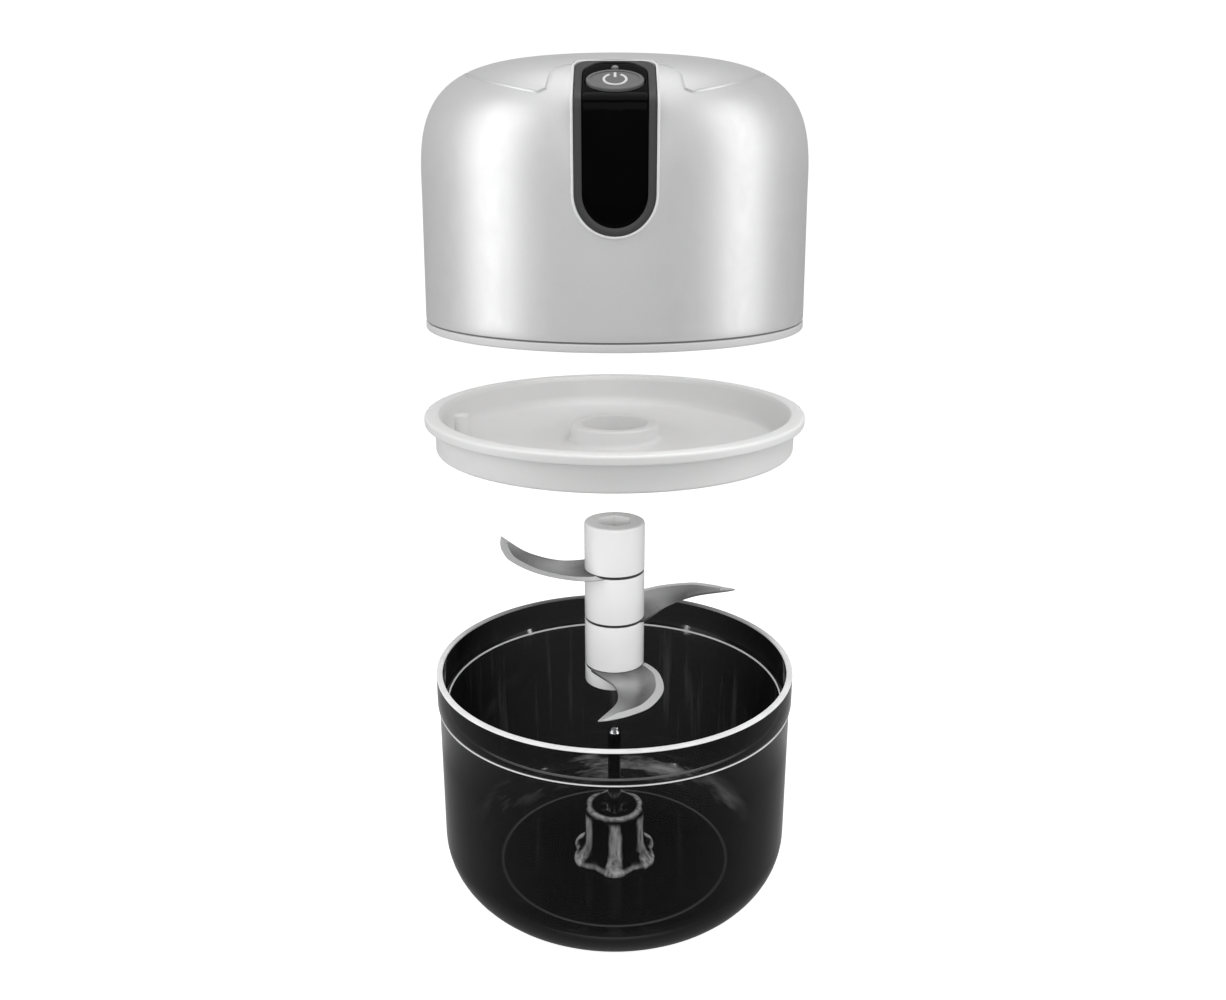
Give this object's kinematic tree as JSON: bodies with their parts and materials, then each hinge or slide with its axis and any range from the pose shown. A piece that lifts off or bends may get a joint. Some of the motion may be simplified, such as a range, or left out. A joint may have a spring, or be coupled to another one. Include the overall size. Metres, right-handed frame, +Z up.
{
  "type": "mini food processor",
  "caption": "Small cordless food processor taken apart along its axis: domed motor head, white inner lid, three-blade column and clear bowl, joined by slides.",
  "frame": {"origin": "centre of the bowl's base, on the surface that it stands on", "axes": "+Z up the common axis of bowl, blades, lid and head; -Y towards the front, where the control window is; +X to the right"},
  "size_m": [0.0952, 0.0952, 0.2154],
  "materials": {
    "pearl_shell": "satin pearl-white paint over moulded ABS",
    "white_plastic": "satin white moulded plastic",
    "lid_plastic": "soft white polypropylene, slightly translucent",
    "clear_bowl": "polished clear smoked bowl",
    "gloss_black": "piano-black window",
    "bezel_grey": "dark grey satin bezel",
    "button_grey": "mid grey satin button",
    "mark_white": "white print and clear lens",
    "blade_steel": "polished stainless sheet with ground bevels",
    "pin_steel": "ground stainless pin",
    "screw_steel": "zinc-plated small hardware",
    "motor_steel": "plated motor steel",
    "brass": "machined brass",
    "nylon": "natural nylon",
    "grey_rubber": "soft dark rubber",
    "black_plastic": "black moulded plastic",
    "circuit_board": "green solder mask",
    "cell_wrap": "blue heat-shrink sleeve",
    "magnet": "sintered ferrite",
    "rotor_copper": "laminated poles with copper winding"
  },
  "bodies": {
    "bowl": {"bowl": "clear_bowl", "centre_pin": "pin_steel"},
    "bush": {"bearing_bush": "nylon"},
    "blade_set": {"lower_blade": "blade_steel", "middle_blade": "blade_steel", "upper_blade": "blade_steel", "column_foot": "white_plastic", "column_lower": "white_plastic", "column_middle": "white_plastic", "column_top": "white_plastic", "column_core": "nylon"},
    "lid": {"inner_lid": "lid_plastic"},
    "head": {"head_shell": "pearl_shell", "head_base": "white_plastic", "base_screw_1": "screw_steel", "base_screw_2": "screw_steel", "base_screw_3": "screw_steel", "base_screw_4": "screw_steel", "window_bezel": "bezel_grey", "window_panel": "gloss_black", "button_dome": "screw_steel", "tact_switch": "black_plastic", "control_board": "circuit_board", "led_lens": "mark_white", "usb_socket": "screw_steel", "charge_board": "circuit_board", "port_cover_pin": "screw_steel", "ring_gear": "nylon", "gearbox_cover": "nylon", "motor_mount": "motor_steel", "output_bushing": "brass", "shaft_seal": "grey_rubber", "motor_can": "motor_steel", "motor_end_cap": "white_plastic", "motor_magnet_left": "magnet", "motor_magnet_right": "magnet", "motor_terminal_left": "brass", "motor_terminal_right": "brass", "battery_cell_left": "cell_wrap", "battery_cell_right": "cell_wrap", "battery_clip_left": "white_plastic", "battery_clip_right": "white_plastic", "safety_spring": "screw_steel", "safety_switch": "black_plastic"},
    "button": {"power_button": "button_grey", "power_mark_ring": "mark_white", "power_mark_bar": "mark_white"},
    "port_flap": {"port_cover": "grey_rubber"},
    "safety_plunger": {"safety_pin": "white_plastic"},
    "output": {"planet_carrier": "motor_steel", "drive_coupler": "white_plastic"},
    "planet_1": {"planet_gear_1": "nylon"},
    "planet_2": {"planet_gear_2": "nylon"},
    "planet_3": {"planet_gear_3": "nylon"},
    "rotor": {"sun_gear": "brass", "motor_rotor": "rotor_copper", "motor_shaft": "screw_steel"}
  },
  "joints": [
    {"name": "blade_lift", "type": "slide", "parent": "bowl", "child": "bush", "axis": [0, 0, 1], "range_m": [-0.0393, 0]},
    {"name": "blade_spin", "type": "hinge", "parent": "bush", "child": "blade_set", "pos_m": [0, 0, 0.08], "axis": [0, 0, 1], "continuous": true},
    {"name": "lid_lift", "type": "slide", "parent": "bush", "child": "lid", "axis": [0, 0, 1], "range_m": [-0.0278, 0]},
    {"name": "head_lift", "type": "slide", "parent": "lid", "child": "head", "axis": [0, 0, 1], "range_m": [-0.0209, 0]},
    {"name": "power_press", "type": "slide", "parent": "head", "child": "button", "axis": [0, 0.5, -0.866], "range_m": [0, 0.0005], "stiffness_N_per_m": 600, "springref_m": -0.0005},
    {"name": "safety_press", "type": "slide", "parent": "head", "child": "safety_plunger", "axis": [0, 0, 1], "range_m": [0, 0.0012], "stiffness_N_per_m": 150, "springref_m": -0.001, "deforming": ["safety_spring"]},
    {"name": "port_cover_hinge", "type": "hinge", "parent": "head", "child": "port_flap", "pos_m": [0, 0.0436, 0.166], "axis": [-1, 0, 0], "range_deg": [0, 90]},
    {"name": "output_spin", "type": "hinge", "parent": "head", "child": "output", "pos_m": [0, 0, 0.1554], "axis": [0, 0, 1], "continuous": true},
    {"name": "planet_1_spin", "type": "hinge", "parent": "output", "child": "planet_1", "pos_m": [0.00945, 0, 0.1711], "axis": [0, 0, 1], "continuous": true},
    {"name": "planet_2_spin", "type": "hinge", "parent": "output", "child": "planet_2", "pos_m": [-0.00473, 0.00818, 0.1711], "axis": [0, 0, 1], "continuous": true},
    {"name": "planet_3_spin", "type": "hinge", "parent": "output", "child": "planet_3", "pos_m": [-0.00473, -0.00818, 0.1711], "axis": [0, 0, 1], "continuous": true},
    {"name": "rotor_spin", "type": "hinge", "parent": "head", "child": "rotor", "pos_m": [0, 0, 0.1904], "axis": [0, 0, 1], "continuous": true}
  ],
  "couplings": [
    {"joint": "output_spin", "follows": "blade_spin", "ratio": 1},
    {"joint": "planet_1_spin", "follows": "blade_spin", "ratio": -2.8},
    {"joint": "planet_2_spin", "follows": "blade_spin", "ratio": -2.8},
    {"joint": "planet_3_spin", "follows": "blade_spin", "ratio": -2.8},
    {"joint": "rotor_spin", "follows": "blade_spin", "ratio": 4.5}
  ]
}
